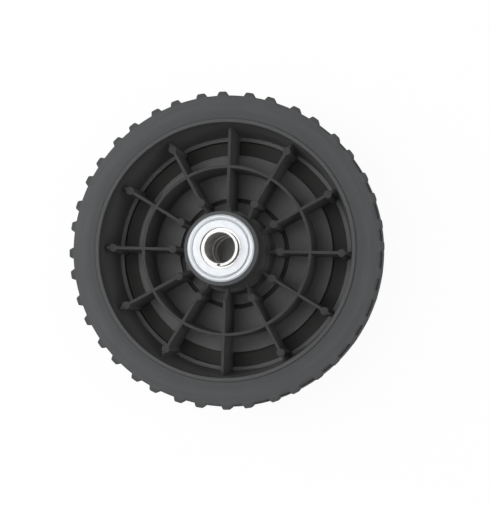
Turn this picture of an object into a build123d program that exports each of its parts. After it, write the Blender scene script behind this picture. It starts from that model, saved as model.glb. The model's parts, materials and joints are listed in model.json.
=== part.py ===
from build123d import *
import os
from math import cos, radians, sin, tan

# A spare wheel for a garden machine: a ribbed plastic rim with a rubber tyre,
# turning on two flanged ball bearings and a pair of rolled steel sleeves.
# Millimetres. The axle lies along Z and the wheel lies on its outer face, so
# the ribbed side that faces the machine, the inboard side, looks up.

# Overall
wheel_diameter = 200.0
rim_width = 50.0

# Axle sleeves, rolled from strip with a butt seam
bore_radius = 9.525
sleeve_wall = 1.875
sleeve_stand = 2.8
sleeve_chamfer = 0.35
seam_width = 0.3
seam_angle = 268.0

# Ball bearings, the same on both sides
ball_diameter = 3.97
ball_count = 7
ball_play = 0.05
race_floor = 0.85
cup_floor = 1.1
groove_depth = 0.6
cup_depth = 11.0
cup_chamfer = 0.8
flange_width = 3.5
flange_thickness = 2.2
flange_crest = 0.25
flange_rim = 1.1
crest_slope = 1.5
plate_lip = 0.8
plate_thickness = 1.0
plate_rise = 0.3
plate_depth = 2.4
plate_skirt = 0.8
plate_bend = 0.4
plate_gap = 0.8
race_gap = 0.9
cage_gap = 0.4
cage_play = 0.1
cage_bar = 0.9

# Hub of the rim
seat_run_out = 0.2
hub_wall = 5.9
hub_stand = 11.0
hub_edge = 1.0
hub_draft = 0.6
spacer_bore_gap = 3.0
pocket_gap = 1.3
pocket_wall = 4.4
pocket_depth = 24.4
pocket_roof = 2.6

# Web, ribs and edge of the rim
edge_wall = 2.6
edge_round = 0.6
wall_draft = 4.8
edge_recess = 0.6
edge_foot = 4.0
face_wall = 1.6
ledge_width = 2.7
ledge_height = 3.3
trench_width = 9.1
dish_depth = 3.0
dish_wall = 2.6
web_wall = 3.0
floor_margin = 10.4
web_groove_width = 2.6
web_groove_depth = 2.0
web_groove_offset = 6.8
rib_count = 12
rib_thickness = 1.9
rib_drop = 8.6
rib_toe = 2.6
rib_toe_drop = 4.0
rib_heel = 5.0
rib_hub_stand = 3.4
pad_diameter = 5.2
pad_rise = 0.3
outer_pad_inset = 0.4
inner_pad_offset = 7.5
key_width = 8.0
key_height = 2.0

# Tyre
tyre_wall = 15.0
tyre_setback = 2.5
seam_setback = 0.8
sidewall_bulge = 0.7
shoulder_round = 1.2
tread_depth = 2.4
tread_taper = 3.8
lug_pairs = 20
lug_spacing = 8.0
lug_phase = 6.3
lug_length = 10.0
lug_root = 6.6
lug_tip = 4.2
lug_chamfer = 0.8

# Radii of the hub, worked outwards from the axle
sleeve_radius = bore_radius + sleeve_wall
ball_radius = ball_diameter / 2
raceway_radius = ball_radius + ball_play
pitch_radius = sleeve_radius + race_floor + raceway_radius
land_reach = raceway_radius - groove_depth
cup_radius = pitch_radius + raceway_radius + cup_floor
plate_radius = cup_radius - plate_lip
flange_radius = cup_radius + flange_width
boss_radius = cup_radius + hub_wall
pocket_radius = flange_radius + pocket_gap
hub_radius = pocket_radius + pocket_wall

# Heights, worked upwards from the outer face
trench_level = edge_recess + face_wall
ledge_level = trench_level + ledge_height
floor_level = dish_depth + web_wall
rib_level = rim_width - rib_drop
hub_level = rim_width + hub_stand
roof_level = dish_depth + pocket_depth
shoulder_level = roof_level + pocket_roof
rib_hub_level = shoulder_level + rib_hub_stand
inboard_crest = hub_level + flange_thickness
outboard_crest = roof_level - flange_thickness
seat_length = cup_depth - flange_thickness + seat_run_out
sleeve_joint = outboard_crest + cup_depth + seat_run_out

# Radii of the tyre and the rim, worked inwards from the tread. The rim's inner
# wall leans outwards to its edge.
wheel_radius = wheel_diameter / 2
root_radius = wheel_radius - tread_depth
seat_radius = root_radius - tyre_wall
edge_radius = seat_radius - edge_wall
ledge_radius = edge_radius - (rim_width - ledge_level) * tan(radians(wall_draft))
trench_radius = ledge_radius - ledge_width
floor_radius = trench_radius - trench_width
ring_radius = floor_radius - floor_margin - rib_thickness / 2

# Heights of the tyre
middle_level = rim_width / 2
tyre_top = rim_width - tyre_setback
band_high = tyre_top - lug_length
band_low = tyre_setback + lug_length

os.makedirs("parts", exist_ok=True)


def around(radius, turn):
    """A point at this radius and at this turn about the axle."""
    return (radius * cos(radians(turn)), radius * sin(radians(turn)))


def tapered(radius, level):
    """A radius of the tread, which narrows from its inboard shoulder down to this height."""
    return radius - (tyre_top - level) * tan(radians(tread_taper))


# One rib: it stands on the web, steps down into the trench and runs into the
# rim's wall, and its top falls away at the wall and at the hub.
rib_end = edge_radius - rib_drop * tan(radians(wall_draft))
with BuildPart() as rib:
    with BuildSketch(Plane.XZ):
        with BuildLine():
            Polyline(
                (hub_radius - pocket_wall / 2, floor_level - web_wall / 2),
                (floor_radius - dish_wall / 2, floor_level - web_wall / 2),
                (floor_radius - dish_wall / 2, trench_level - face_wall / 2),
                (ledge_radius + edge_wall / 2, trench_level - face_wall / 2),
                (rib_end + edge_wall / 2, rib_level - rib_toe_drop),
                (rib_end, rib_level - rib_toe_drop),
                (rib_end - rib_toe, rib_level),
                (hub_radius + rib_heel, rib_level),
                (hub_radius, rib_hub_level),
                (boss_radius - hub_wall / 2, rib_hub_level),
                (boss_radius - hub_wall / 2, roof_level + pocket_roof / 2),
                (hub_radius - pocket_wall / 2, roof_level + pocket_roof / 2),
                close=True,
            )
        make_face()
    extrude(amount=rib_thickness / 2, both=True)

# The rim, moulded in one piece with its web and hub
rib_turns = [360 / rib_count * k for k in range(rib_count)]
pad_turns = [turn for turn in rib_turns if turn not in (90, 270)]
web_groove_radius = hub_radius + web_groove_offset
outer_pads = [around(trench_radius - outer_pad_inset, turn) for turn in pad_turns]
inner_pads = [around(hub_radius + inner_pad_offset, turn) for turn in pad_turns]
with BuildPart() as rim:
    with BuildSketch(Plane.XZ):
        with BuildLine():
            Polyline(
                (ledge_radius, ledge_level),
                (edge_radius, rim_width - edge_round),
                (edge_radius + edge_round, rim_width),
                (seat_radius, rim_width),
                (seat_radius, 0),
                (seat_radius - edge_foot, 0),
                (seat_radius - edge_foot, edge_recess),
                (floor_radius - dish_wall, edge_recess),
                (floor_radius - dish_wall, dish_depth),
                (pocket_radius, dish_depth),
                (pocket_radius, roof_level),
                (cup_radius, roof_level),
                (cup_radius, roof_level + seat_length),
                (sleeve_radius + spacer_bore_gap, roof_level + seat_length),
                (sleeve_radius + spacer_bore_gap, hub_level - seat_length),
                (cup_radius, hub_level - seat_length),
                (cup_radius, hub_level),
                (boss_radius - hub_edge, hub_level),
                (boss_radius, hub_level - hub_edge),
                (boss_radius + hub_draft, shoulder_level),
                (hub_radius - hub_draft, shoulder_level),
                (hub_radius, floor_level),
                (web_groove_radius, floor_level),
                (web_groove_radius, floor_level - web_groove_depth),
                (web_groove_radius + web_groove_width, floor_level - web_groove_depth),
                (web_groove_radius + web_groove_width, floor_level),
                (floor_radius, floor_level),
                (floor_radius, trench_level),
                (trench_radius, trench_level),
                (trench_radius, ledge_level),
                close=True,
            )
        make_face()
        with Locations((seat_radius, middle_level)):
            Rectangle(2 * key_height, key_width)
    revolve(axis=Axis.Z)
    with PolarLocations(0, rib_count):
        add(rib.part)
    with BuildSketch(Plane.XY.offset(floor_level - web_wall / 2)):
        Circle(ring_radius + rib_thickness / 2)
        Circle(ring_radius - rib_thickness / 2, mode=Mode.SUBTRACT)
    extrude(amount=rib_level - floor_level + web_wall / 2)
    with BuildSketch(Plane.XY.offset(trench_level - face_wall / 2)):
        with Locations(*outer_pads):
            Circle(pad_diameter / 2)
    extrude(amount=rib_level + pad_rise - trench_level + face_wall / 2)
    with BuildSketch(Plane.XY.offset(floor_level - web_wall / 2)):
        with Locations(*inner_pads):
            Circle(pad_diameter / 2)
    extrude(amount=rib_level + pad_rise - floor_level + web_wall / 2)
rim.part.label = "rim"
export_step(rim.part, "parts/rim.step")

# Shoulder lugs of the tread, from the tyre's side to the middle band, one form
# for each side. Their flanks run on into the rubber below the root, and the
# outboard lugs are set half a pitch on.
lug_pitch = 360 / lug_pairs
lug_foot = 2 * lug_root - lug_tip
shoulder_lugs = []
shoulders = (
    (tyre_top, band_high, lug_phase),
    (tyre_setback, band_low, lug_phase + lug_pitch / 2),
)
for outer, inner, first_turn in shoulders:
    with BuildPart() as lug:
        for level in (outer, inner):
            tip_radius = tapered(wheel_radius, level)
            foot_radius = tip_radius - 2 * tread_depth
            with BuildSketch(Plane.XY.offset(level)):
                with BuildLine():
                    Polyline(
                        (foot_radius, -lug_foot / 2),
                        (tip_radius, -lug_tip / 2),
                        (tip_radius, lug_tip / 2),
                        (foot_radius, lug_foot / 2),
                        close=True,
                    )
                make_face()
        loft()
        tip = lug.faces().sort_by(Axis.X)[-1]
        chamfer(tip.edges().sort_by(Axis.Z, reverse=outer < inner)[1:], lug_chamfer)
    shoulder_lugs.append((lug.part, first_turn))

# The tyre: a ring of rubber over the rim's key, narrower towards the outboard
# side. Lugs stand in pairs on both shoulders of a smooth middle band.
low_side = seam_setback
high_side = rim_width - seam_setback
high_shoulder = (root_radius - shoulder_round, tyre_top)
low_shoulder = (tapered(root_radius, tyre_setback) - shoulder_round, tyre_setback)
high_root = tyre_top - shoulder_round
low_root = tyre_setback + shoulder_round
side_rise = (high_side + tyre_top) / 2 + sidewall_bulge
with BuildPart() as tyre:
    with BuildSketch(Plane.XZ):
        with BuildLine():
            Line((seat_radius, low_side), (seat_radius, high_side))
            ThreePointArc(
                (seat_radius, high_side),
                ((seat_radius + high_shoulder[0]) / 2, side_rise),
                high_shoulder,
            )
            Polyline(
                high_shoulder,
                (tapered(root_radius, high_root), high_root),
                (tapered(root_radius, low_root), low_root),
                low_shoulder,
            )
            ThreePointArc(
                low_shoulder,
                ((seat_radius + low_shoulder[0]) / 2, rim_width - side_rise),
                (seat_radius, low_side),
            )
        make_face()
        with Locations((seat_radius, middle_level)):
            Rectangle(2 * key_height, key_width, mode=Mode.SUBTRACT)
        with BuildLine():
            Polyline(
                (tapered(root_radius - tread_depth, band_low), band_low),
                (tapered(wheel_radius, band_low), band_low),
                (tapered(wheel_radius, band_high), band_high),
                (tapered(root_radius - tread_depth, band_high), band_high),
                close=True,
            )
        make_face()
    revolve(axis=Axis.Z)
    for lug_form, first_turn in shoulder_lugs:
        for hand in (-1, 1):
            with PolarLocations(0, lug_pairs, start_angle=first_turn + hand * lug_spacing / 2):
                add(lug_form)
tyre.part.label = "tyre"
export_step(tyre.part, "parts/tyre.step")

# The two bearings are the same, one facing up and one facing down. Each is
# drawn in a half section: radius across, and height above its flange's crest.
ball_level = -(plate_depth + cup_depth) / 2
plate_top = plate_rise - plate_thickness
cage_reach = land_reach - cage_gap
pocket_reach = ball_radius + cage_play
cage_height = 2 * (pocket_reach + cage_bar)
ball_turns = [360 / ball_count * k for k in range(ball_count)]
window_align = (Align.CENTER, Align.CENTER, Align.MIN)
sides = (("inboard", inboard_crest, 1), ("outboard", outboard_crest, -1))
for side, crest, outward in sides:
    section = Plane(origin=(0, 0, crest), x_dir=(1, 0, 0), z_dir=(0, -outward, 0))
    ball_height = crest + outward * ball_level
    ball_spots = [(*around(pitch_radius, turn), ball_height) for turn in ball_turns]
    windows = [
        Plane(origin=(0, 0, ball_height), z_dir=(*around(1, turn), 0)) for turn in ball_turns
    ]

    # Pressed steel cup: the outer raceway, with a rolled flange on the hub's end
    with BuildPart() as cup:
        with BuildSketch(section):
            with BuildLine():
                Polyline(
                    (flange_radius, -flange_rim),
                    (flange_radius, -flange_thickness),
                    (cup_radius, -flange_thickness),
                    (cup_radius, cup_chamfer - cup_depth),
                    (cup_radius - cup_chamfer, -cup_depth),
                    (pitch_radius + land_reach, -cup_depth),
                    (pitch_radius + land_reach, -plate_depth),
                    (plate_radius, -plate_depth),
                    (plate_radius, -flange_rim),
                    (plate_radius + crest_slope, -flange_crest),
                )
                ThreePointArc(
                    (plate_radius + crest_slope, -flange_crest),
                    ((plate_radius + crest_slope + flange_radius) / 2, 0),
                    (flange_radius, -flange_rim),
                )
            make_face()
            with Locations((pitch_radius, ball_level)):
                Circle(raceway_radius, mode=Mode.SUBTRACT)
        revolve(axis=Axis.Z)
    cup.part.label = f"{side}_cup"
    export_step(cup.part, f"parts/{side}_cup.step")

    # Pressed face plate, a shallow dish whose skirt sits in the cup's mouth
    with BuildPart() as plate:
        with BuildSketch(section):
            with BuildLine():
                Polyline(
                    (sleeve_radius + plate_gap, plate_rise),
                    (plate_radius - plate_bend, plate_rise),
                    (plate_radius, plate_rise - plate_bend),
                    (plate_radius, -plate_depth),
                    (plate_radius - plate_skirt, -plate_depth),
                    (plate_radius - plate_skirt, plate_top),
                    (sleeve_radius + plate_gap, plate_top),
                    close=True,
                )
            make_face()
        revolve(axis=Axis.Z)
    plate.part.label = f"{side}_face_plate"
    export_step(plate.part, f"parts/{side}_face_plate.step")

    # Inner race, pressed on its sleeve
    with BuildPart() as race:
        with BuildSketch(section):
            with BuildLine():
                Polyline(
                    (sleeve_radius, plate_top - race_gap),
                    (pitch_radius - land_reach, plate_top - race_gap),
                    (pitch_radius - land_reach, -cup_depth),
                    (sleeve_radius, -cup_depth),
                    close=True,
                )
            make_face()
            with Locations((pitch_radius, ball_level)):
                Circle(raceway_radius, mode=Mode.SUBTRACT)
        revolve(axis=Axis.Z)
    race.part.label = f"{side}_inner_race"
    export_step(race.part, f"parts/{side}_inner_race.step")

    # Cage: a ring with a round window for each ball
    with BuildPart() as cage:
        with BuildSketch(section):
            with Locations((pitch_radius, ball_level)):
                Rectangle(2 * cage_reach, cage_height)
        revolve(axis=Axis.Z)
        with Locations(*windows):
            Cylinder(pocket_reach, cup_radius, align=window_align, mode=Mode.SUBTRACT)
    cage.part.label = f"{side}_cage"
    export_step(cage.part, f"parts/{side}_cage.step")

    for number, spot in enumerate(ball_spots, start=1):
        with BuildPart() as ball:
            with Locations(spot):
                Sphere(ball_radius)
        ball.part.label = f"{side}_ball_{number}"
        export_step(ball.part, f"parts/{side}_ball_{number}.step")

# The sleeves, a long and a short one, end to end along the axle. The seam is
# a slit where the rolled strip's edges meet.
sleeve_runs = (
    ("inboard", sleeve_joint, inboard_crest + sleeve_stand),
    ("outboard", outboard_crest - sleeve_stand, sleeve_joint),
)
for side, low, high in sleeve_runs:
    with BuildPart() as sleeve:
        with BuildSketch(Plane.XZ):
            with Locations((bore_radius + sleeve_wall / 2, (low + high) / 2)):
                wall = Rectangle(sleeve_wall, high - low)
            chamfer(wall.vertices(), sleeve_chamfer)
        revolve(axis=Axis.Z)
        with BuildSketch(Plane.XY.offset(low)):
            seam_spot = around(bore_radius + sleeve_wall / 2, seam_angle)
            with Locations(Location((*seam_spot, 0), (0, 0, seam_angle))):
                Rectangle(2 * sleeve_wall, seam_width)
        extrude(amount=high - low, mode=Mode.SUBTRACT)
    sleeve.part.label = f"{side}_sleeve"
    export_step(sleeve.part, f"parts/{side}_sleeve.step")

print("wheel", round(2 * wheel_radius, 2), "over the lugs")
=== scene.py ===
# %% [markdown]
# # A ribbed wheel for a garden machine
# The wheel is a black plastic moulding with a rubber tyre, and it turns on two pressed
# ball bearings that sit on rolled steel sleeves. It lies on its outer face, so the ribbed
# side looks up at the camera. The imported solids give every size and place. This lesson
# rounds their edges, as a mould and a press do, and gives each piece its finish.

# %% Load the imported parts
import json
import math

import bmesh
import bpy
from mathutils import Matrix, Vector


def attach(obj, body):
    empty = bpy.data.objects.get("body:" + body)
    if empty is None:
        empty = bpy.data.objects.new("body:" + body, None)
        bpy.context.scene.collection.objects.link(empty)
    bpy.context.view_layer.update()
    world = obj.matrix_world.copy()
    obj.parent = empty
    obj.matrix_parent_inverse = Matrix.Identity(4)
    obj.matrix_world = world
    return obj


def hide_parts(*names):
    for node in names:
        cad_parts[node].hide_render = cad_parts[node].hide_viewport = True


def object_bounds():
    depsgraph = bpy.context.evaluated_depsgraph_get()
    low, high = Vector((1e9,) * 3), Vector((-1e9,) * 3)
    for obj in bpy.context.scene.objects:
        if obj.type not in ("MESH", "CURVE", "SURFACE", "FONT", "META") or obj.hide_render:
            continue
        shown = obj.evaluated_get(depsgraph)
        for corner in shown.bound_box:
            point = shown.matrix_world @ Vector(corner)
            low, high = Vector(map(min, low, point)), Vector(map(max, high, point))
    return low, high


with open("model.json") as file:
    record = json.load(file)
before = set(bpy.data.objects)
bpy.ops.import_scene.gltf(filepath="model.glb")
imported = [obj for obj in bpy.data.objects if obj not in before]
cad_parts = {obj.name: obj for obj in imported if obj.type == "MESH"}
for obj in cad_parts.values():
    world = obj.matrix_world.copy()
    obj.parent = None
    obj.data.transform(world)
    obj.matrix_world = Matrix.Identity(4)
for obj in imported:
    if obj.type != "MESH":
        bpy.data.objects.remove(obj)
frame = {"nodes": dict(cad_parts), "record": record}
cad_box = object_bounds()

scene = bpy.context.scene
scene.view_settings.view_transform = "Standard"
MM = 0.001
print(len(frame["nodes"]), "solids, highest corner", [round(x / MM, 1) for x in cad_box[1]], "mm")

# %% [markdown]
# ## The camera
# The photograph looks almost straight down the axle. Its camera stands a little to the
# right and below, so the hub leans left in the picture. A scale at the plane of the lugs
# and the pixel where the axle crosses that plane fix the camera, with no lens shift.

# %% Camera
photo_width = 490
photo_height = 509
focal_pixels = 1550
pixel_size = 0.6262 * MM
axle_pixel = (224.5, 249.6)
lug_plane = 47.5 * MM
camera_lean = math.radians(9.1)
camera_turn = math.radians(-20)
camera_roll = math.radians(1.8)

back = Vector((
    math.sin(camera_lean) * math.cos(camera_turn),
    math.sin(camera_lean) * math.sin(camera_turn),
    math.cos(camera_lean),
))
level_up = Vector((0, 1, 0)) - back * back.y
level_up.normalize()
level_right = level_up.cross(back)
right = level_right * math.cos(camera_roll) + level_up * math.sin(camera_roll)
up = back.cross(right)

camera = bpy.data.objects.new("camera", bpy.data.cameras.new("camera"))
scene.collection.objects.link(camera)
scene.camera = camera
camera.data.lens = focal_pixels * camera.data.sensor_width / photo_height
aim_right = (photo_width / 2 - axle_pixel[0]) * pixel_size
aim_up = (axle_pixel[1] - photo_height / 2) * pixel_size
place = Vector((0, 0, lug_plane)) + back * focal_pixels * pixel_size
place += right * aim_right + up * aim_up
turned = Matrix((right, up, back)).transposed().to_4x4()
camera.matrix_world = Matrix.Translation(place) @ turned
print("camera at", [round(x, 3) for x in place], "lens", round(camera.data.lens, 1), "mm")

# %% [markdown]
# ## Helpers for node trees
# Shader groups and Geometry Nodes trees are both built from nodes and links. One helper
# adds a node and fills its sockets, with a value or with another node's output. A second
# one does a step of arithmetic.


# %% Node helpers
def put(tree, kind, inputs=None, **settings):
    """Adds a node to a tree. An input that is another node's output is linked."""
    made = tree.nodes.new(kind)
    for name, value in settings.items():
        setattr(made, name, value)
    for name, value in (inputs or {}).items():
        if isinstance(value, bpy.types.NodeSocket):
            tree.links.new(value, made.inputs[name])
        else:
            made.inputs[name].default_value = value
    return made


def reckon(tree, operation, *values):
    """One step of arithmetic on numbers or sockets."""
    inputs = dict(enumerate(values))
    return put(tree, "ShaderNodeMath", inputs, operation=operation).outputs[0]


def new_tree(name, kind, inputs, outputs):
    """An empty node tree with named sockets. A number gives an input its first value."""
    tree = bpy.data.node_groups.new(name, kind)
    number_types = {int: "NodeSocketInt", float: "NodeSocketFloat"}
    for label, value in inputs.items():
        socket_type = number_types.get(type(value), value)
        socket = tree.interface.new_socket(label, in_out="INPUT", socket_type=socket_type)
        if socket_type is not value:
            socket.default_value = value
    for label, socket_type in outputs.items():
        tree.interface.new_socket(label, in_out="OUTPUT", socket_type=socket_type)
    start = tree.nodes.new("NodeGroupInput").outputs
    return tree, start


def close_tree(tree, outputs):
    """Links what the tree puts out."""
    put(tree, "NodeGroupOutput", outputs)
    print("tree", tree.name, "has", len(tree.nodes), "nodes")


# %% [markdown]
# ## Effects that several finishes share
# Moulded plastic, rubber and steel all have a fine grain and patches that are lighter or
# darker. A mask of the faces that look up, thinner in patches, lays dusty patches on the
# rubber, and on the plastic it also carries painted light and painted shade. Rubber and
# steel show fine rings round the axle. Each effect is one shader group, placed in a material
# with its own values. They read Object coordinates, which are metres here, because a turned
# piece has no unwrapped skin and the axle runs through the origin.


# %% Shared shader groups
def wheel_place_group():
    """Radius and height in millimetres, and a place that runs round the axle."""
    outputs = {
        "Radius": "NodeSocketFloat",
        "Height": "NodeSocketFloat",
        "Ring Place": "NodeSocketVector",
    }
    tree, start = new_tree("wheel_place", "ShaderNodeTree", {"Run": 1.0}, outputs)
    spot = put(tree, "ShaderNodeTexCoord").outputs["Object"]
    axes = put(tree, "ShaderNodeSeparateXYZ", {"Vector": spot}).outputs
    flat = put(tree, "ShaderNodeCombineXYZ", {"X": axes["X"], "Y": axes["Y"]}).outputs[0]
    length = put(tree, "ShaderNodeVectorMath", {0: flat}, operation="LENGTH").outputs["Value"]
    radius = reckon(tree, "DIVIDE", length, MM)
    height = reckon(tree, "DIVIDE", axes["Z"], MM)
    around = put(tree, "ShaderNodeVectorMath", {0: flat}, operation="NORMALIZE").outputs[0]
    around = put(tree, "ShaderNodeVectorMath", {0: around, "Scale": start["Run"]},
                 operation="SCALE").outputs[0]
    lift = reckon(tree, "ADD", radius, height)
    lift = put(tree, "ShaderNodeCombineXYZ", {"Z": lift}).outputs[0]
    ring = put(tree, "ShaderNodeVectorMath", {0: around, 1: lift}, operation="ADD").outputs[0]
    close_tree(tree, {"Radius": radius, "Height": height, "Ring Place": ring})
    return tree


def soft_band_group():
    """A mask that is 1 where a value lies between two limits."""
    inputs = {"Value": 0.0, "Low": 0.0, "High": 1.0, "Soft": 0.1}
    tree, start = new_tree("soft_band", "ShaderNodeTree", inputs, {"Mask": "NodeSocketFloat"})
    ramps = []
    for limit in ("Low", "High"):
        ends = {
            "Value": start["Value"],
            "From Min": reckon(tree, "SUBTRACT", start[limit], start["Soft"]),
            "From Max": reckon(tree, "ADD", start[limit], start["Soft"]),
        }
        ramp = put(tree, "ShaderNodeMapRange", ends, interpolation_type="SMOOTHSTEP")
        ramps.append(ramp.outputs[0])
    close_tree(tree, {"Mask": reckon(tree, "SUBTRACT", *ramps)})
    return tree


def moulded_grain_group():
    """Fine grain for a bump, and broad patches for a colour."""
    inputs = {"Grain Size": 0.6, "Patch Size": 18.0}
    outputs = {"Grain": "NodeSocketFloat", "Patches": "NodeSocketFloat"}
    tree, start = new_tree("moulded_grain", "ShaderNodeTree", inputs, outputs)
    spot = put(tree, "ShaderNodeTexCoord").outputs["Object"]
    made = {}
    for label, size, detail in (("Grain", "Grain Size", 3.0), ("Patches", "Patch Size", 5.0)):
        inputs = {
            "Vector": spot,
            "Scale": reckon(tree, "DIVIDE", 1 / MM, start[size]),
            "Detail": detail,
            "Roughness": 0.6,
        }
        made[label] = put(tree, "ShaderNodeTexNoise", inputs).outputs["Fac"]
    close_tree(tree, made)
    return tree


def dust_and_painted_light_group():
    """A mask of faces that look up, thinner in patches, for dusty patches and painted light."""
    inputs = {"Steepest": 0.45, "Patch Size": 9.0, "Bareness": 0.4}
    tree, start = new_tree("dust_and_painted_light", "ShaderNodeTree", inputs, {"Mask": "NodeSocketFloat"})
    coords = put(tree, "ShaderNodeTexCoord").outputs
    axes = put(tree, "ShaderNodeSeparateXYZ", {"Vector": coords["Normal"]}).outputs
    level = put(tree, "ShaderNodeMapRange", {"Value": axes["Z"], "From Min": start["Steepest"]},
                interpolation_type="SMOOTHSTEP").outputs[0]
    noise = {
        "Vector": coords["Object"],
        "Scale": reckon(tree, "DIVIDE", 1 / MM, start["Patch Size"]),
        "Detail": 6.0,
        "Roughness": 0.65,
    }
    patches = put(tree, "ShaderNodeTexNoise", noise).outputs["Fac"]
    thin = reckon(tree, "MULTIPLY", patches, start["Bareness"])
    cover = reckon(tree, "SUBTRACT", 1.0, thin)
    close_tree(tree, {"Mask": reckon(tree, "MULTIPLY", level, cover)})
    return tree


def turning_marks_group(wheel_place):
    """Fine rings round the axle, as a lathe, a press or a wiping cloth leaves them."""
    inputs = {"Ring Width": 0.4, "Run": 3.0}
    tree, start = new_tree("turning_marks", "ShaderNodeTree", inputs, {"Rings": "NodeSocketFloat"})
    place = put(tree, "ShaderNodeGroup", {"Run": start["Run"]}, node_tree=wheel_place)
    inputs = {
        "Vector": place.outputs["Ring Place"],
        "Scale": reckon(tree, "DIVIDE", 1.0, start["Ring Width"]),
        "Detail": 2.0,
    }
    rings = put(tree, "ShaderNodeTexNoise", inputs).outputs["Fac"]
    close_tree(tree, {"Rings": rings})
    return tree


wheel_place = wheel_place_group()
soft_band = soft_band_group()
moulded_grain = moulded_grain_group()
dust_and_painted_light = dust_and_painted_light_group()
turning_marks = turning_marks_group(wheel_place)

# %% [markdown]
# ## Finishes
# Every finish is a Principled shader whose colour, roughness and bump vary over the
# surface. A value that is the same everywhere is set on the shader itself. Helpers place
# a shared group, mix two colours by a mask and spread a mask between two values.


# %% Finish helpers
def new_finish(name, **values):
    """A material with a bare Principled shader, and its tree."""
    finish = bpy.data.materials.new(name)
    finish.use_nodes = True
    tree = finish.node_tree
    shader = tree.nodes["Principled BSDF"]
    for label, value in values.items():
        shader.inputs[label.replace("_", " ")].default_value = value
    return finish, tree, shader.inputs


def effect(tree, group, **values):
    """A shared group's outputs, with its inputs given by name."""
    inputs = {label.replace("_", " "): value for label, value in values.items()}
    return put(tree, "ShaderNodeGroup", inputs, node_tree=group).outputs


def tint(tree, mask, bare, covered):
    """A colour that goes from bare to covered with the mask."""
    mix_sockets = {0: mask, 6: bare, 7: covered}
    return put(tree, "ShaderNodeMix", mix_sockets, data_type="RGBA").outputs[2]


def spread(tree, mask, low, high, start=0.0, end=1.0):
    """The mask, from its start to its end, spread over low to high."""
    inputs = {"Value": mask, "From Min": start, "From Max": end, "To Min": low, "To Max": high}
    return put(tree, "ShaderNodeMapRange", inputs).outputs[0]


def relief(tree, height, strength, depth):
    """A bump whose full height is this many millimetres."""
    inputs = {"Height": height, "Strength": strength, "Distance": depth * MM}
    return put(tree, "ShaderNodeBump", inputs).outputs["Normal"]


def grey(value, warmth=0.0):
    """A nearly neutral colour. Warmth above 0 leans to brown, and below 0 to blue."""
    return (value * (1 + warmth), value, value * (1 - warmth), 1.0)


# %% [markdown]
# ### Moulded plastic of the rim
# The plastic is black, with the mould's fine texture. Its faces that look up carry dusty
# patches and painted light: painted shade darkens the tops, and deep in the web they are
# painted much paler, painted light in the shade of the cells. The walls are darkest at their
# top and painted paler towards their foot, painted light where shade falls low in the wheel.
# Four zones depart from that: the trench and the groove get painted shade, the rim's edge a
# painted highlight, and the hub's top is painted paler. A mask on the faces that look up, a
# slope on the height and a band of radii and heights for each zone give this. It all holds
# when the wheel turns, because the axle points up.


# %% Rim plastic
def rim_plastic_finish():
    finish, tree, shader = new_finish("rim_plastic", Specular_IOR_Level=0.25)
    place = effect(tree, wheel_place)
    grain = effect(tree, moulded_grain, Grain_Size=0.5, Patch_Size=22.0)
    up_face_mask = effect(tree, dust_and_painted_light, Steepest=0.5, Patch_Size=11.0, Bareness=0.3)["Mask"]
    bare = tint(tree, grain["Patches"], grey(0.04, 0.02), grey(0.056, 0.01))
    # Painted light: the walls are painted paler towards their foot, where shade falls in the wheel.
    painted_lift_towards_foot = spread(tree, place["Height"], 1.0, 0.0, start=4.0, end=50.0)
    bare = tint(tree, painted_lift_towards_foot, bare, grey(0.19, 0.01))
    # Painted light and shade on the faces that look up: darker on the tops, much paler deep in the web.
    deep = effect(tree, soft_band, Value=place["Height"], Low=-10.0, High=25.0, Soft=5.0)["Mask"]
    painted_light_up_faces = tint(tree, deep, grey(0.034, -0.01), grey(0.172, -0.01))
    colour = tint(tree, up_face_mask, bare, painted_light_up_faces)
    # Painted shade in the trench and the groove, a painted highlight on the rim's edge, the hub's top
    # painted paler.
    zones = {
        "trench": ((64.2, 73.8), (1.4, 5.2), grey(0.047, 0.03)),
        "groove": ((33.2, 36.2), (3.5, 5.7), grey(0.045, 0.03)),
        "hub top": ((20.0, 24.5), (58.0, 62.0), grey(0.078, -0.04)),
        "rim edge": ((79.0, 84.0), (49.4, 52.0), grey(0.068, -0.02)),
    }
    for radii, heights, shade in zones.values():
        zone = 1.0
        for value, (low, high), soft in (("Radius", radii, 0.3), ("Height", heights, 0.2)):
            band = effect(tree, soft_band, Value=place[value], Low=low, High=high, Soft=soft)
            zone = reckon(tree, "MULTIPLY", zone, band["Mask"])
        colour = tint(tree, zone, colour, shade)
    tree.links.new(colour, shader["Base Color"])
    tree.links.new(spread(tree, up_face_mask, low=0.55, high=0.72), shader["Roughness"])
    tree.links.new(relief(tree, grain["Grain"], strength=0.25, depth=0.08), shader["Normal"])
    return finish


# %% [markdown]
# ### Rubber of the tyre
# The rubber is greyer and duller than the plastic. Its side has broad pale patches and
# faint rings from wiping. Near the rim it is darkened by painted shade, and the faces of the
# tread, past the side's outer edge, are darker too. Bands on the radius tell the three apart.


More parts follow.
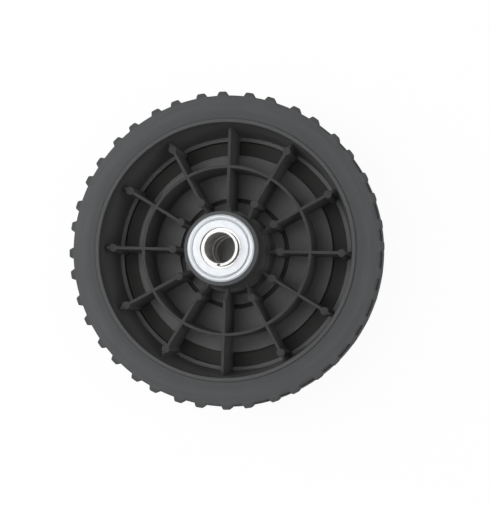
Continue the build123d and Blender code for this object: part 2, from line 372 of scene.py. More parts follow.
# %% Tyre rubber
def tyre_rubber_finish():
    finish, tree, shader = new_finish("tyre_rubber", Specular_IOR_Level=0.3)
    place = effect(tree, wheel_place)
    grain = effect(tree, moulded_grain, Grain_Size=0.7, Patch_Size=30.0)
    rings = effect(tree, turning_marks, Ring_Width=1.6, Run=5.0)["Rings"]
    up_face_mask = effect(tree, dust_and_painted_light, Steepest=0.3, Patch_Size=14.0, Bareness=0.3)["Mask"]
    bare = tint(tree, grain["Patches"], grey(0.036, 0.0), grey(0.052, -0.01))
    side = tint(tree, rings, grey(0.062, -0.03), grey(0.088, -0.04))
    colour = tint(tree, up_face_mask, bare, side)
    # The tread is darker, and the band near the rim is painted shade.
    zones = {
        "tread": (97.4, 110.0, 0.5, 0.35, grey(0.03, 0.02)),
        "near the rim": (70.0, 88.0, 2.5, 0.5, grey(0.05, -0.02)),
    }
    for inner, outer, soft, share, shade in zones.values():
        band = effect(tree, soft_band, Value=place["Radius"], Low=inner, High=outer, Soft=soft)
        colour = tint(tree, reckon(tree, "MULTIPLY", band["Mask"], share), colour, shade)
    tree.links.new(colour, shader["Base Color"])
    tree.links.new(spread(tree, grain["Patches"], low=0.66, high=0.82), shader["Roughness"])
    tree.links.new(relief(tree, grain["Grain"], strength=0.3, depth=0.1), shader["Normal"])
    return finish


# %% [markdown]
# ### Plated and plain steel
# The bearing's cup and plate are bright zinc, faintly blue, with soft clouds in the
# plating and rings from the press. The sleeve is the same plating gone a little yellow, and
# dull on its outside, which the bearings cover. Races, cages and balls are bare steel. One
# function makes them all from two colours, a range of roughness and the rings' width and
# depth.


# %% Steels
def steel_finish(name, clean, clouded, roughness, ring_width, mark_depth, dull_from=None):
    finish, tree, shader = new_finish(name, Metallic=1.0)
    grain = effect(tree, moulded_grain, Grain_Size=0.3, Patch_Size=4.0)
    rings = effect(tree, turning_marks, Ring_Width=ring_width, Run=1.5)["Rings"]
    colour = tint(tree, grain["Patches"], clean, clouded)
    if dull_from is not None:
        radius = effect(tree, wheel_place)["Radius"]
        outside = spread(tree, radius, 0.0, 1.0, start=dull_from, end=dull_from + 0.1)
        colour = tint(tree, outside, colour, grey(0.16, 0.02))
    tree.links.new(colour, shader["Base Color"])
    worn = reckon(tree, "ADD", rings, reckon(tree, "MULTIPLY", grain["Grain"], 0.4))
    tree.links.new(spread(tree, worn, *roughness, start=0.3, end=1.1), shader["Roughness"])
    tree.links.new(relief(tree, rings, strength=0.3, depth=mark_depth), shader["Normal"])
    return finish


finishes = {
    "rim_plastic": rim_plastic_finish(),
    "tyre_rubber": tyre_rubber_finish(),
    "bearing_zinc": steel_finish(
        "bearing_zinc", clean=grey(0.82, -0.02), clouded=grey(0.69, -0.04),
        roughness=(0.6, 0.74), ring_width=0.35, mark_depth=0.002),
    "sleeve_steel": steel_finish(
        "sleeve_steel", clean=grey(0.77, 0.01), clouded=grey(0.63, 0.02),
        roughness=(0.5, 0.65), ring_width=0.25, mark_depth=0.004, dull_from=11.25),
    "race_steel": steel_finish(
        "race_steel", clean=grey(0.6, 0.01), clouded=grey(0.48, 0.02),
        roughness=(0.2, 0.35), ring_width=0.2, mark_depth=0.005),
    "cage_steel": steel_finish(
        "cage_steel", clean=grey(0.5, 0.03), clouded=grey(0.38, 0.04),
        roughness=(0.3, 0.5), ring_width=0.4, mark_depth=0.01),
    "ball_steel": steel_finish(
        "ball_steel", clean=grey(0.78, 0.0), clouded=grey(0.7, 0.01),
        roughness=(0.05, 0.12), ring_width=0.5, mark_depth=0.002),
}
print("finishes", sorted(finishes))

# %% [markdown]
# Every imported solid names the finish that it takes. The pieces made below take the finish of
# the solid that they stand for.

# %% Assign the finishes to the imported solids
slot_of = {row["node"]: row["material_slot"] for row in frame["record"]["subparts"]}
for name, solid in frame["nodes"].items():
    solid.data.materials.clear()
    solid.data.materials.append(finishes[slot_of[name]])
print(len(slot_of), "solids have their finish")

# %% [markdown]
# ## Turned rings
# The rim, the tyre, the bearing's cups and plates and the sleeves are all rings about the
# axle. A lathe's way fits them: draw half the section as a wire, round its corners, and
# carry it round a circle. The section could also be spun with the Screw modifier, but a
# Geometry Nodes tree rounds each corner by its own amount and can leave a seam open, as the
# rolled sleeves need. Each corner is a radius, a height and a rounding in millimetres.


# %% Sections and the turning tree
def section_wire(name, corners):
    """Half a section as a closed wire, each corner with its own rounding."""
    mesh = bpy.data.meshes.new(name)
    count = len(corners)
    spots = [(radius * MM, height * MM, 0) for radius, height, _ in corners]
    mesh.from_pydata(spots, [(k, (k + 1) % count) for k in range(count)], [])
    roundings = mesh.attributes.new("rounding", "FLOAT", "POINT")
    roundings.data.foreach_set("value", [rounding * MM for _, _, rounding in corners])
    wire = bpy.data.objects.new(name, mesh)
    scene.collection.objects.link(wire)
    print(name, "has", count, "corners")
    return wire


def turned_ring_tree():
    """Carries a rounded section round the axle. A seam angle above 0 leaves a slit."""
    inputs = {
        "Section": "NodeSocketGeometry",
        "Steps": 160,
        "Corner Steps": 3,
        "Seam Turn": 0.0,
        "Seam Angle": 0.0,
    }
    tree, start = new_tree("turned_ring", "GeometryNodeTree", inputs, {"Ring": "NodeSocketGeometry"})
    path_radius = 0.05
    rounding = put(tree, "GeometryNodeInputNamedAttribute", {"Name": "rounding"}, data_type="FLOAT")
    wire = put(tree, "GeometryNodeMeshToCurve", {"Mesh": start["Section"]}).outputs["Curve"]
    corners = {
        "Curve": wire,
        "Count": start["Corner Steps"],
        "Radius": rounding.outputs[0],
        "Limit Radius": True,
    }
    rounded = put(tree, "GeometryNodeFilletCurve", corners, mode="POLY").outputs["Curve"]
    laid = {"Geometry": rounded, "Translation": (-path_radius, 0, 0), "Rotation": (math.pi, 0, 0)}
    laid = put(tree, "GeometryNodeTransform", laid).outputs["Geometry"]
    circle = {"Resolution": start["Steps"], "Radius": path_radius}
    whole = put(tree, "GeometryNodeCurvePrimitiveCircle", circle).outputs["Curve"]
    slit = {
        "Resolution": start["Steps"],
        "Radius": path_radius,
        "Start Angle": reckon(tree, "MULTIPLY_ADD", start["Seam Angle"], 0.5, start["Seam Turn"]),
        "Sweep Angle": reckon(tree, "SUBTRACT", 2 * math.pi, start["Seam Angle"]),
    }
    slit = put(tree, "GeometryNodeCurveArc", slit).outputs["Curve"]
    open_seam = reckon(tree, "GREATER_THAN", start["Seam Angle"], 0.0)
    path = put(tree, "GeometryNodeSwitch", {"Switch": open_seam, "False": whole, "True": slit},
               input_type="GEOMETRY").outputs[0]
    path = put(tree, "GeometryNodeSetCurveNormal", {"Curve": path}, mode="Z_UP").outputs["Curve"]
    swept = {"Curve": path, "Profile Curve": laid, "Fill Caps": True}
    close_tree(tree, {"Ring": put(tree, "GeometryNodeCurveToMesh", swept).outputs["Mesh"]})
    return tree


turned_ring = turned_ring_tree()

# %% [markdown]
# ## From a tree to a plain piece
# Every tree below ends in the same way: faces are shaded smooth, edges that turn sharply
# stay crisp, instances become real and the finish is set. The result is then copied out as
# a plain mesh. Its normals are weighted by area, so that a flat face beside a small rounding
# still looks flat.


# %% Ending a tree and making the piece
def end_tree(tree, start, shape):
    """Shades the shape, makes its instances real and sets the finish."""
    shape = put(tree, "GeometryNodeRealizeInstances", {"Geometry": shape}).outputs[0]
    shape = put(tree, "GeometryNodeSetShadeSmooth", {"Geometry": shape}).outputs[0]
    turn = put(tree, "GeometryNodeInputMeshEdgeAngle").outputs["Unsigned Angle"]
    gentle = reckon(tree, "LESS_THAN", turn, start["Crisp Angle"])
    shape = put(tree, "GeometryNodeSetShadeSmooth", {"Geometry": shape, "Shade Smooth": gentle},
                domain="EDGE").outputs[0]
    shape = put(tree, "GeometryNodeSetMaterial", {"Geometry": shape, "Material": start["Finish"]})
    close_tree(tree, {"Piece": shape.outputs[0]})
    return tree


def plain_copy(shape, name):
    """What an object's modifiers make of it, as a mesh of its own."""
    shape = shape.evaluated_get(bpy.context.evaluated_depsgraph_get())
    mesh = bpy.data.meshes.new_from_object(shape)
    mesh.name = name
    return mesh


def made_piece(name, tree, base, node, body, **inputs):
    """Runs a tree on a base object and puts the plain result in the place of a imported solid."""
    slot = slot_of[node]
    inputs["Finish"] = finishes[slot]
    modifier = base.modifiers.new("tree", "NODES")
    modifier.node_group = tree
    sockets = tree.interface.items_tree
    sockets = {item.name: item.identifier for item in sockets if item.in_out == "INPUT"}
    for label, value in inputs.items():
        modifier[sockets[label.replace("_", " ")]] = value
    mesh = plain_copy(base, name)
    base.modifiers.remove(modifier)
    work = bmesh.new()
    work.from_mesh(mesh)
    bmesh.ops.remove_doubles(work, verts=work.verts, dist=1e-7)
    bmesh.ops.recalc_face_normals(work, faces=work.faces)
    loose_edges = sum(not edge.is_manifold for edge in work.edges)
    volume = work.calc_volume() / MM ** 3
    work.to_mesh(mesh)
    work.free()
    piece = bpy.data.objects.new(name, mesh)
    scene.collection.objects.link(piece)
    weigh = piece.modifiers.new("weigh", "WEIGHTED_NORMAL")
    weigh.keep_sharp = True
    piece.data = plain_copy(piece, name)
    piece.modifiers.remove(weigh)
    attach(piece, body)
    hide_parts(node)
    triangles = sum(len(face.vertices) - 2 for face in piece.data.polygons)
    print(name, triangles, "triangles", round(volume), "mm3", loose_edges, "loose edges")


def put_away(*helpers):
    """Deletes objects that only served to make a piece."""
    for helper in helpers:
        bpy.data.objects.remove(helper)


# %% [markdown]
# ## Forms that repeat
# Ribs and lugs are solids with straight sides and slightly rounded edges, and pads are
# pegs with a rounded top. Each is made once. Geometry Nodes set copies of it round the
# axle, so that the count and the spacing stay single numbers.


# %% Helpers for forms
def rounded_off(work, edges, name, rounding, steps):
    """Rounds some edges of a worked solid and makes an object of it."""
    bmesh.ops.bevel(work, geom=edges, offset=rounding * MM, segments=steps, profile=0.5,
                    affect="EDGES", clamp_overlap=True)
    mesh = bpy.data.meshes.new(name)
    work.to_mesh(mesh)
    work.free()
    form = bpy.data.objects.new(name, mesh)
    scene.collection.objects.link(form)
    print(name, "has", len(mesh.polygons), "faces")
    return form


def block_form(name, near_end, far_end, rounding, steps, crisp=lambda edge: False):
    """A solid between two outlines with as many corners each, its edges rounded."""
    work = bmesh.new()
    verts = [work.verts.new([x * MM for x in corner]) for corner in near_end + far_end]
    count = len(near_end)
    work.faces.new(verts[:count])
    work.faces.new(verts[count:])
    for k in range(count):
        after = (k + 1) % count
        work.faces.new([verts[k], verts[after], verts[after + count], verts[k + count]])
    bmesh.ops.recalc_face_normals(work, faces=work.faces)
    edges = [edge for edge in work.edges if not crisp(edge)]
    return rounded_off(work, edges, name, rounding, steps)


def peg_form(name, radius, low, high, reach, rounding, draft=1.04):
    """An upright peg at a distance from the axle, wider at its foot and rounded at its top."""
    work = bmesh.new()
    bmesh.ops.create_cone(work, cap_ends=True, segments=28, radius1=radius * MM * draft,
                          radius2=radius * MM, depth=(high - low) * MM)
    bmesh.ops.translate(work, verts=work.verts, vec=(reach * MM, 0, (high + low) / 2 * MM))
    top = [edge for edge in work.edges if all(v.co.z > (high - 0.01) * MM for v in edge.verts)]
    return rounded_off(work, top, name, rounding, 3)


def arc_corners(first, middle, last, steps):
    """Points on the circle through three points, with the first and the last."""
    (x1, y1), (x2, y2), (x3, y3) = first, middle, last
    d = 2 * (x1 * (y2 - y3) + x2 * (y3 - y1) + x3 * (y1 - y2))
    s1, s2, s3 = x1 * x1 + y1 * y1, x2 * x2 + y2 * y2, x3 * x3 + y3 * y3
    cx = (s1 * (y2 - y3) + s2 * (y3 - y1) + s3 * (y1 - y2)) / d
    cy = (s1 * (x3 - x2) + s2 * (x1 - x3) + s3 * (x2 - x1)) / d
    radius = math.hypot(x1 - cx, y1 - cy)
    begin = math.atan2(y1 - cy, x1 - cx)
    sweep = math.remainder(math.atan2(y3 - cy, x3 - cx) - begin, 2 * math.pi)
    turns = [begin + sweep * k / steps for k in range(steps + 1)]
    return [(cx + radius * math.cos(turn), cy + radius * math.sin(turn)) for turn in turns]


def smooth_corners(points):
    """Points of an arc as corners of a section, with no rounding of their own."""
    return [(radius, height, 0) for radius, height in points]


# %% Helpers for copies round the axle
def object_shape(tree, socket):
    """The shape of an object that the tree is given."""
    return put(tree, "GeometryNodeObjectInfo", {"Object": socket}).outputs["Geometry"]


def round_the_axle(tree, shape, count, turn, chosen=None):
    """Copies of a shape, each turned about the axle."""
    points = put(tree, "GeometryNodePoints", {"Count": count}).outputs[0]
    spin = put(tree, "ShaderNodeCombineXYZ", {"Z": turn}).outputs[0]
    copies = {"Points": points, "Instance": shape, "Rotation": spin}
    if chosen is not None:
        copies["Selection"] = chosen
    return put(tree, "GeometryNodeInstanceOnPoints", copies).outputs[0]


def fused(tree, *shapes):
    """All the shapes as one closed skin."""
    joint = put(tree, "GeometryNodeMeshBoolean", operation="UNION", solver="MANIFOLD")
    for shape in shapes:
        tree.links.new(shape, joint.inputs["Mesh 2"])
    return joint.outputs["Mesh"]


# %% [markdown]
# ## The rim
# The rim is one moulding: an outer wall that leans outwards, a ledge and a deep trench at
# its foot, a web with a groove, a stepped hub, and on the web twelve ribs, a ring halfway
# and round ejector pads on ten of the ribs. The turned body comes from the section. Ribs
# and pads are copied round the axle and all is fused into one skin, so that no face is left
# inside the plastic.


# %% Sizes of the rim, in millimetres
rim_high = 50.0
wall_foot, wall_top, seat_radius = 76.26, 80.06, 82.6
key_radius, key_low, key_high = 84.6, 21.0, 29.0
lip_radius, face_height = 78.6, 0.6
dish_radius, dish_height = 61.86, 3.0
pocket_radius, pocket_high = 22.22, 27.4
bearing_seat, hub_bore = 17.42, 14.4
outboard_shoulder, inboard_shoulder = 36.4, 52.0
hub_high, hub_top, hub_foot = 61.0, 23.32, 23.92
step_high, step_top, step_foot = 30.0, 26.02, 26.62
web_high, ledge_high = 6.0, 5.5
groove_inner, groove_outer, groove_floor = 33.42, 36.02, 4.0
trench_inner, trench_outer, trench_floor = 64.46, 73.56, 2.2

rib_high, rib_half = 41.4, 0.95
rib_end, rib_end_run, rib_end_drop = 79.28, 2.6, 4.0
rib_hub_run, rib_hub_stand = 5.0, 3.4
ring_middle, ring_foot_half = 53.11, 1.21
pad_radius, pad_high, pad_rounding = 2.6, rib_high + 0.3, 0.55
outer_pad_reach, outer_pad_foot = trench_outer - 0.4, trench_floor - 0.7
inner_pad_reach, inner_pad_foot = step_foot + 7.5, web_high - 1.1
sink = 1.3
print("rim", 2 * seat_radius, "mm across its seat and", rim_high, "mm wide, ribs up to", rib_high)

# %% [markdown]
# The rim's half section runs clockwise, up the inside of the wall first. Ribs, ring and pads
# reach a little into their neighbours, so that they fuse without a gap.

# %% Rim section, rib and pads
rim_section = section_wire("rim_section", [
    (wall_foot, ledge_high, 0.8), (wall_top, rim_high, 0.7), (seat_radius, rim_high, 0.5),
    (seat_radius, key_high, 0), (key_radius, key_high, 0),
    (key_radius, key_low, 0), (seat_radius, key_low, 0),
    (seat_radius, 0, 0.5), (lip_radius, 0, 0.5), (lip_radius, face_height, 0.25),
    (dish_radius, face_height, 0.5), (dish_radius, dish_height, 0.6),
    (pocket_radius, dish_height, 0.7), (pocket_radius, pocket_high, 0.4),
    (bearing_seat, pocket_high, 0.2), (bearing_seat, outboard_shoulder, 0.1),
    (hub_bore, outboard_shoulder, 0.3), (hub_bore, inboard_shoulder, 0.3),
    (bearing_seat, inboard_shoulder, 0.1), (bearing_seat, hub_high, 0.3),
    (hub_top, hub_high, 1.0), (hub_foot, step_high, 0.7),
    (step_top, step_high, 0.6), (step_foot, web_high, 0.8),
    (groove_inner, web_high, 0.45), (groove_inner, groove_floor, 0.5),
    (groove_outer, groove_floor, 0.5), (groove_outer, web_high, 0.45),
    (trench_inner, web_high, 0.8), (trench_inner, trench_floor, 0.6),
    (trench_outer, trench_floor, 0.6), (trench_outer, ledge_high, 0.6),
])
ring_section = section_wire("ring_section", [
    (ring_middle - ring_foot_half, web_high - sink, 0), (ring_middle - rib_half, rib_high, 0.35),
    (ring_middle + rib_half, rib_high, 0.35), (ring_middle + ring_foot_half, web_high - sink, 0),
])

hub_wall_middle = (bearing_seat + hub_top) / 2
step_wall_middle = (pocket_radius + step_foot) / 2
rib_web_foot, rib_trench_foot = web_high - 1.5, trench_floor - 0.8
rib_outline = [
    (step_wall_middle, rib_web_foot), (trench_inner - sink, rib_web_foot),
    (trench_inner - sink, rib_trench_foot), (wall_foot + sink, rib_trench_foot),
    (rib_end + sink, rib_high - rib_end_drop), (rib_end, rib_high - rib_end_drop),
    (rib_end - rib_end_run, rib_high), (step_foot + rib_hub_run, rib_high),
    (step_foot, step_high + rib_hub_stand), (hub_wall_middle, step_high + rib_hub_stand),
    (hub_wall_middle, step_high - sink), (step_wall_middle, step_high - sink),
]
rib_sides = [[(x, y, z) for x, z in rib_outline] for y in (-rib_half, rib_half)]
rib = block_form("rib", *rib_sides, rounding=0.32, steps=2)
outer_pad = peg_form("outer_pad", pad_radius, outer_pad_foot, pad_high, outer_pad_reach, pad_rounding)
inner_pad = peg_form("inner_pad", pad_radius, inner_pad_foot, pad_high, inner_pad_reach, pad_rounding)


# %% The ribbed rim
def ribbed_rim_tree():
    inputs = {
        "Section": "NodeSocketGeometry",
        "Ring": "NodeSocketObject",
        "Rib": "NodeSocketObject",
        "Outer Pad": "NodeSocketObject",
        "Inner Pad": "NodeSocketObject",
        "Rib Count": 12,
        "Bare Rib": 3,
        "Steps": 144,
        "Crisp Angle": 0.6,
        "Finish": "NodeSocketMaterial",
    }
    tree, start = new_tree("ribbed_rim", "GeometryNodeTree", inputs, {"Piece": "NodeSocketGeometry"})
    shapes = []
    for section in (start["Section"], object_shape(tree, start["Ring"])):
        lathe = {"Section": section, "Steps": start["Steps"]}
        shapes.append(put(tree, "GeometryNodeGroup", lathe, node_tree=turned_ring).outputs[0])
    number = put(tree, "GeometryNodeInputIndex").outputs[0]
    turn = reckon(tree, "DIVIDE", reckon(tree, "MULTIPLY", number, 2 * math.pi), start["Rib Count"])
    half_way = reckon(tree, "MODULO", number, reckon(tree, "DIVIDE", start["Rib Count"], 2.0))
    bare = reckon(tree, "COMPARE", half_way, start["Bare Rib"], 0.1)
    padded = reckon(tree, "SUBTRACT", 1.0, bare)
    for form, chosen in (("Rib", None), ("Outer Pad", padded), ("Inner Pad", padded)):
        shape = object_shape(tree, start[form])
        shapes.append(round_the_axle(tree, shape, start["Rib Count"], turn, chosen))
    return end_tree(tree, start, fused(tree, *shapes))


made_piece("rim_moulding", ribbed_rim_tree(), rim_section, "rim", "wheel", Ring=ring_section,
           Rib=rib, Outer_Pad=outer_pad, Inner_Pad=inner_pad)
put_away(rim_section, ring_section, rib, outer_pad, inner_pad)

# %% [markdown]
# ## The tyre
# The tyre is a rubber ring whose tread narrows a little towards the outer face. Its middle
# band is crowned. Lugs stand in pairs on both shoulders, and the outboard pairs sit half a
# pitch on. A lug could be modelled forty times, but its turn follows from its number: the
# pair gives the pitch and odd or even gives the side of the pair.

# %% Tyre section
wheel_radius, root_radius = 100.0, 97.6
taper = math.tan(math.radians(3.8))
tyre_top, tyre_foot = 47.5, 2.5
inboard_lip, inboard_bulge, inboard_edge = 49.2, (89.5, 49.05), 96.6
outboard_lip, outboard_bulge, outboard_edge = 0.8, (88.0, 0.95), 93.6
band_high, band_low = 37.5, 12.5
band_middle, band_edge_radius = (band_high + band_low) / 2, wheel_radius - 1.2
shoulder_drop = 1.0
edge_rounding = 0.35
arc_steps = 8


def on_tread(radius, height):
    """A point of the tread, whose radius is counted at the tyre's top."""
    return (radius - (tyre_top - height) * taper, height)


inboard_side = arc_corners(
    (seat_radius, inboard_lip), inboard_bulge, (inboard_edge, tyre_top), arc_steps)
outboard_side = arc_corners(
    (outboard_edge, tyre_foot), outboard_bulge, (seat_radius, outboard_lip), arc_steps)
band_crown = arc_corners(
    on_tread(band_edge_radius, band_high), on_tread(wheel_radius, band_middle),
    on_tread(band_edge_radius, band_low), arc_steps)
tyre_section = section_wire("tyre_section", [
    (seat_radius, key_low, 0), (key_radius, key_low, 0),
    (key_radius, key_high, 0), (seat_radius, key_high, 0),
    (*inboard_side[0], edge_rounding), *smooth_corners(inboard_side[1:]),
    (*on_tread(root_radius, tyre_top - shoulder_drop), 0.8),
    (*on_tread(root_radius, band_high), 0.4),
    *smooth_corners(band_crown),
    (*on_tread(root_radius, band_low), 0.4),
    (*on_tread(root_radius, tyre_foot + shoulder_drop), 0.8),
    *smooth_corners(outboard_side[:-1]), (*outboard_side[-1], edge_rounding),
])

# %% Lugs
lug_tip, lug_foot, lug_depth = 4.7, 9.4, 4.8
lug_rounding, lug_overlap = 0.75, 0.6


def lug_form(name, side, band):
    """A lug from the tyre's side to the middle band. Edges inside the tyre stay crisp."""
    ends = []
    for height in (side, band):
        tip = on_tread(wheel_radius, height)[0]
        foot = tip - lug_depth
        ends.append([(foot, -lug_foot / 2, height), (tip, -lug_tip / 2, height),
                     (tip, lug_tip / 2, height), (foot, lug_foot / 2, height)])

    def crisp(edge):
        middle = sum((v.co for v in edge.verts), Vector()) / 2 / MM
        buried = on_tread(root_radius, middle.z)[0] - 1
        return abs(middle.z - band) < 0.01 or middle.x < buried
    return block_form(name, *ends, rounding=lug_rounding, steps=3, crisp=crisp)


inboard_lug = lug_form("inboard_lug", tyre_top, band_high - lug_overlap)
outboard_lug = lug_form("outboard_lug", tyre_foot, band_low + lug_overlap)


# %% The lugged tyre
def lugged_tyre_tree():
    inputs = {
        "Section": "NodeSocketGeometry",
        "Inboard Lug": "NodeSocketObject",
        "Outboard Lug": "NodeSocketObject",
        "Lug Pairs": 20,
        "Lug Spacing": math.radians(8.0),
        "First Turn": math.radians(6.6),
        "Steps": 180,
        "Crisp Angle": 0.6,
        "Finish": "NodeSocketMaterial",
    }
    tree, start = new_tree("lugged_tyre", "GeometryNodeTree", inputs, {"Piece": "NodeSocketGeometry"})
    lathe = {"Section": start["Section"], "Steps": start["Steps"]}
    shapes = [put(tree, "GeometryNodeGroup", lathe, node_tree=turned_ring).outputs[0]]
    number = put(tree, "GeometryNodeInputIndex").outputs[0]
    pair = reckon(tree, "FLOOR", reckon(tree, "DIVIDE", number, 2.0))
    pitch = reckon(tree, "DIVIDE", 2 * math.pi, start["Lug Pairs"])
    hand = reckon(tree, "SUBTRACT", reckon(tree, "MODULO", number, 2.0), 0.5)
    turn = reckon(tree, "MULTIPLY_ADD", pair, pitch, start["First Turn"])
    turn = reckon(tree, "MULTIPLY_ADD", hand, start["Lug Spacing"], turn)
    half_pitch_on = reckon(tree, "MULTIPLY_ADD", pitch, 0.5, turn)
    count = reckon(tree, "MULTIPLY", start["Lug Pairs"], 2.0)
    for lug, lug_turn in (("Inboard Lug", turn), ("Outboard Lug", half_pitch_on)):
        shapes.append(round_the_axle(tree, object_shape(tree, start[lug]), count, lug_turn))
    return end_tree(tree, start, fused(tree, *shapes))


made_piece("tyre_rubber_ring", lugged_tyre_tree(), tyre_section, "tyre", "wheel",
           Inboard_Lug=inboard_lug, Outboard_Lug=outboard_lug)
put_away(tyre_section, inboard_lug, outboard_lug)

# %% [markdown]
# ## The bearings
# Cups and face plates are pressed from thin steel, so their bends are round and no edge is
# sharp. They are plain turned rings. The outboard bearing is the inboard one turned over, so
# one section serves both, with its heights counted from the crest of the flange. A narrow
# groove is left round the plate, and it shows as a dark line.


# %% The tree of a plain ring
def plain_ring_tree():
    inputs = {
        "Section": "NodeSocketGeometry",
        "Steps": 128,
        "Corner Steps": 5,
        "Seam Turn": math.radians(268.0),
        "Seam Angle": 0.0,
        "Crisp Angle": 0.7,
        "Finish": "NodeSocketMaterial",
    }
    tree, start = new_tree("plain_ring", "GeometryNodeTree", inputs, {"Piece": "NodeSocketGeometry"})
    labels = ("Section", "Steps", "Corner Steps", "Seam Turn", "Seam Angle")
    lathe = {label: start[label] for label in labels}
    ring = put(tree, "GeometryNodeGroup", lathe, node_tree=turned_ring).outputs[0]
    return end_tree(tree, start, ring)


plain_ring = plain_ring_tree()

# %% Cups and face plates
flange_radius, flange_height = 20.92, 2.2
cup_bore, cup_depth = 15.72, 11.0
mouth_radius, mouth_depth = 16.64, 2.4
ball_depth, raceway_radius, raceway_half = 6.7, 16.32, 1.44
flange_edge, cup_lead, groove_depth = 0.9, 0.8, 1.3
plate_bore, plate_radius, plate_high = 12.5, 17.35, 0.2
plate_rim, plate_lip, plate_sheet = 0.9, 16.62, 0.8

raceway = arc_corners(
    (cup_bore, -ball_depth - raceway_half), (raceway_radius, -ball_depth),
    (cup_bore, -ball_depth + raceway_half), arc_steps)
rolled_crest = [(17.7, -groove_depth, 0.1), (18.0, -0.75, 0.15), (19.1, -0.1, 0.5), (19.9, 0.0, 0.8)]
cup_corners = [
    (flange_radius, -flange_edge, 0.5), (flange_radius, -flange_height, 0.3),
    (bearing_seat, -flange_height, 0.1), (bearing_seat, cup_lead - cup_depth, 0.4),
    (bearing_seat - cup_lead, -cup_depth, 0.3), (cup_bore, -cup_depth, 0.2),
    *smooth_corners(raceway),
    (cup_bore, -mouth_depth, 0.1), (mouth_radius, -mouth_depth, 0.1),
    (mouth_radius, -groove_depth, 0.1), *rolled_crest,
]
plate_corners = [
    (plate_bore, plate_high, 0.4), (plate_radius, plate_high, 0.35),
    (plate_radius, -plate_rim, 0.2), (plate_lip, -plate_rim, 0.1),
    (plate_lip, -mouth_depth, 0.2), (plate_lip - plate_sheet, -mouth_depth, 0.2),
    (plate_lip - plate_sheet, -plate_sheet, 0.1), (plate_bore, -plate_sheet, 0.1),
]
pressings = (("cup_pressing", cup_corners, "cup"), ("plate_pressing", plate_corners, "face_plate"))
crests = {"inboard": (hub_high + flange_height, 1), "outboard": (pocket_high - flange_height, -1)}
for side, (crest, outward) in crests.items():
    for label, corners, node in pressings:
        placed = [(radius, crest + outward * height, rounding) for radius, height, rounding in corners]
        wire = section_wire(label, placed)
        made_piece(f"{side}_{label}", plain_ring, wire, f"{side}_{node}", "wheel")
        put_away(wire)

# %% [markdown]
# ## The sleeves
# The sleeves are rolled from strip, and a fine seam is left where the strip's ends meet.
# Cutting has left a fine bead inside both ends of the short one. The beads catch the light
# and show as two thin arcs in the bore. The seam could be cut out of a whole ring, but the
# turning tree leaves it open by itself, with square ends.

# %% Sleeves
bore_radius, sleeve_radius = 9.525, 11.4
inboard_end, sleeve_joint, outboard_end = 66.0, 36.4, 22.4
end_rounding = 0.35
bead_radius, bead_height = 9.15, 0.6
seam_width = 0.2

inboard_sleeve = [
    (bore_radius, sleeve_joint, 0.2), (sleeve_radius, sleeve_joint, end_rounding),
    (sleeve_radius, inboard_end, end_rounding), (bore_radius, inboard_end, end_rounding),
]
outboard_sleeve = [
    (bead_radius, outboard_end, 0.1), (sleeve_radius, outboard_end, end_rounding),
    (sleeve_radius, sleeve_joint, end_rounding), (bead_radius, sleeve_joint, 0.08),
    (bead_radius, sleeve_joint - bead_height, 0.1), (bore_radius, sleeve_joint - 1.5 * bead_height, 0.1),
    (bore_radius, outboard_end + bead_height, 0), (bead_radius, outboard_end + bead_height, 0.08),
]
for side, corners in (("inboard", inboard_sleeve), ("outboard", outboard_sleeve)):
    wire = section_wire("sleeve", corners)
    made_piece(f"{side}_sleeve_roll", plain_ring, wire, f"{side}_sleeve", "axle_sleeve",
               Seam_Angle=seam_width / sleeve_radius)
    put_away(wire)

# %% [markdown]
# ## Floor and light
# The wheel lies on a plain white floor. For the camera the floor is nearly pure white, as
# behind the photographed wheel, but it still takes a soft shadow. Under the wheel it is
# plain, so that the floor seen through the bore is as dark as it would really be. One large
# lamp hangs above, a little to the left. Two weaker ones stand to the left and right, low
# enough to reach the walls between the ribs, and the sky fills in the rest.


# %% Floor
def floor_finish(white_from, white_to, white_share=0.94):
    """White paper that shines white to the camera from a distance off the axle, in metres."""
    finish = bpy.data.materials.new("floor_white")
    finish.use_nodes = True
    tree = finish.node_tree
    tree.nodes.clear()
    spot = put(tree, "ShaderNodeTexCoord").outputs["Object"]
    away = put(tree, "ShaderNodeVectorMath", {0: spot}, operation="LENGTH").outputs["Value"]
    ends = {"Value": away, "From Min": white_from, "From Max": white_to}
    outside = put(tree, "ShaderNodeMapRange", ends).outputs[0]
    rays = put(tree, "ShaderNodeLightPath").outputs
    seen = reckon(tree, "MAXIMUM", rays["Is Camera Ray"], rays["Is Glossy Ray"])
    seen = reckon(tree, "MAXIMUM", seen, rays["Is Transmission Ray"])
    whiteness = reckon(tree, "MULTIPLY", reckon(tree, "MULTIPLY", seen, outside), white_share)
    paper = put(tree, "ShaderNodeBsdfDiffuse", {"Color": grey(0.9)}).outputs[0]
    white = put(tree, "ShaderNodeEmission", {"Strength": 1.0}).outputs[0]
    mixed = put(tree, "ShaderNodeMixShader", {0: whiteness, 1: paper, 2: white}).outputs[0]
    put(tree, "ShaderNodeOutputMaterial", {"Surface": mixed})
    return finish


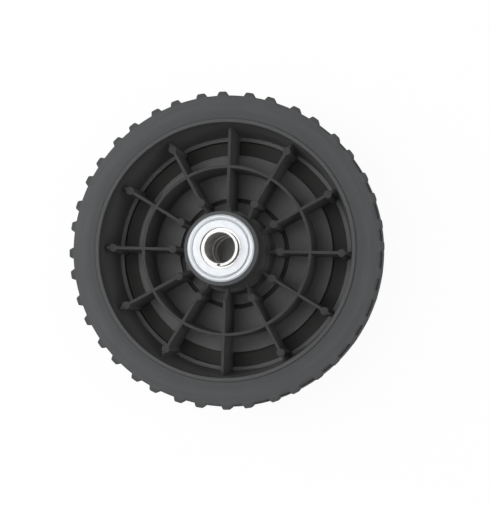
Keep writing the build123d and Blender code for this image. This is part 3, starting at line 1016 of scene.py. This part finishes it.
floor_half = 3.0
floor_mesh = bpy.data.meshes.new("floor")
quarters = ((-1, -1), (1, -1), (1, 1), (-1, 1))
floor_corners = [(x * floor_half, y * floor_half, cad_box[0].z) for x, y in quarters]
floor_mesh.from_pydata(floor_corners, [], [(0, 1, 2, 3)])
floor = bpy.data.objects.new("floor", floor_mesh)
floor.data.materials.append(floor_finish(white_from=0.05, white_to=0.08))
scene.collection.objects.link(floor)
print("floor", 2 * floor_half, "m wide")


# %% Lamps and sky
def soft_lamp(name, place, size, power):
    """A square lamp that looks at the wheel, in metres and watts."""
    lamp = bpy.data.objects.new(name, bpy.data.lights.new(name, "AREA"))
    lamp.data.size = size
    lamp.data.energy = power
    lamp.location = place
    lamp.rotation_mode = "QUATERNION"
    lamp.rotation_quaternion = Vector(place).to_track_quat("Z", "Y")
    scene.collection.objects.link(lamp)


soft_lamp("key_lamp", place=(-0.3, 0.04, 1.25), size=0.65, power=5.7)
soft_lamp("left_lamp", place=(-0.55, 0.12, 0.42), size=0.3, power=1.55)
soft_lamp("right_lamp", place=(0.85, -0.1, 0.8), size=0.8, power=3.0)

world = bpy.data.worlds.new("studio_sky")
world.use_nodes = True
scene.world = world
sky = world.node_tree
sky.nodes.clear()
direction = put(sky, "ShaderNodeTexCoord").outputs["Generated"]
brightest = Vector((-0.45, 0.05, 0.9)).normalized()
facing = put(sky, "ShaderNodeVectorMath", {0: direction, 1: brightest}, operation="DOT_PRODUCT")
rays = put(sky, "ShaderNodeLightPath").outputs
glow = {"Value": facing.outputs["Value"], "From Min": 0.2, "To Min": 0.44, "To Max": 0.52}
glow = put(sky, "ShaderNodeMapRange", glow, interpolation_type="SMOOTHSTEP").outputs[0]
strength = put(sky, "ShaderNodeMix", {"Factor": rays["Is Camera Ray"], "A": glow, "B": 1.0})
light = {"Color": (1, 1, 1, 1), "Strength": strength.outputs[0]}
light = put(sky, "ShaderNodeBackground", light).outputs[0]
put(sky, "ShaderNodeOutputWorld", {"Surface": light})
print("three lamps and a sky")
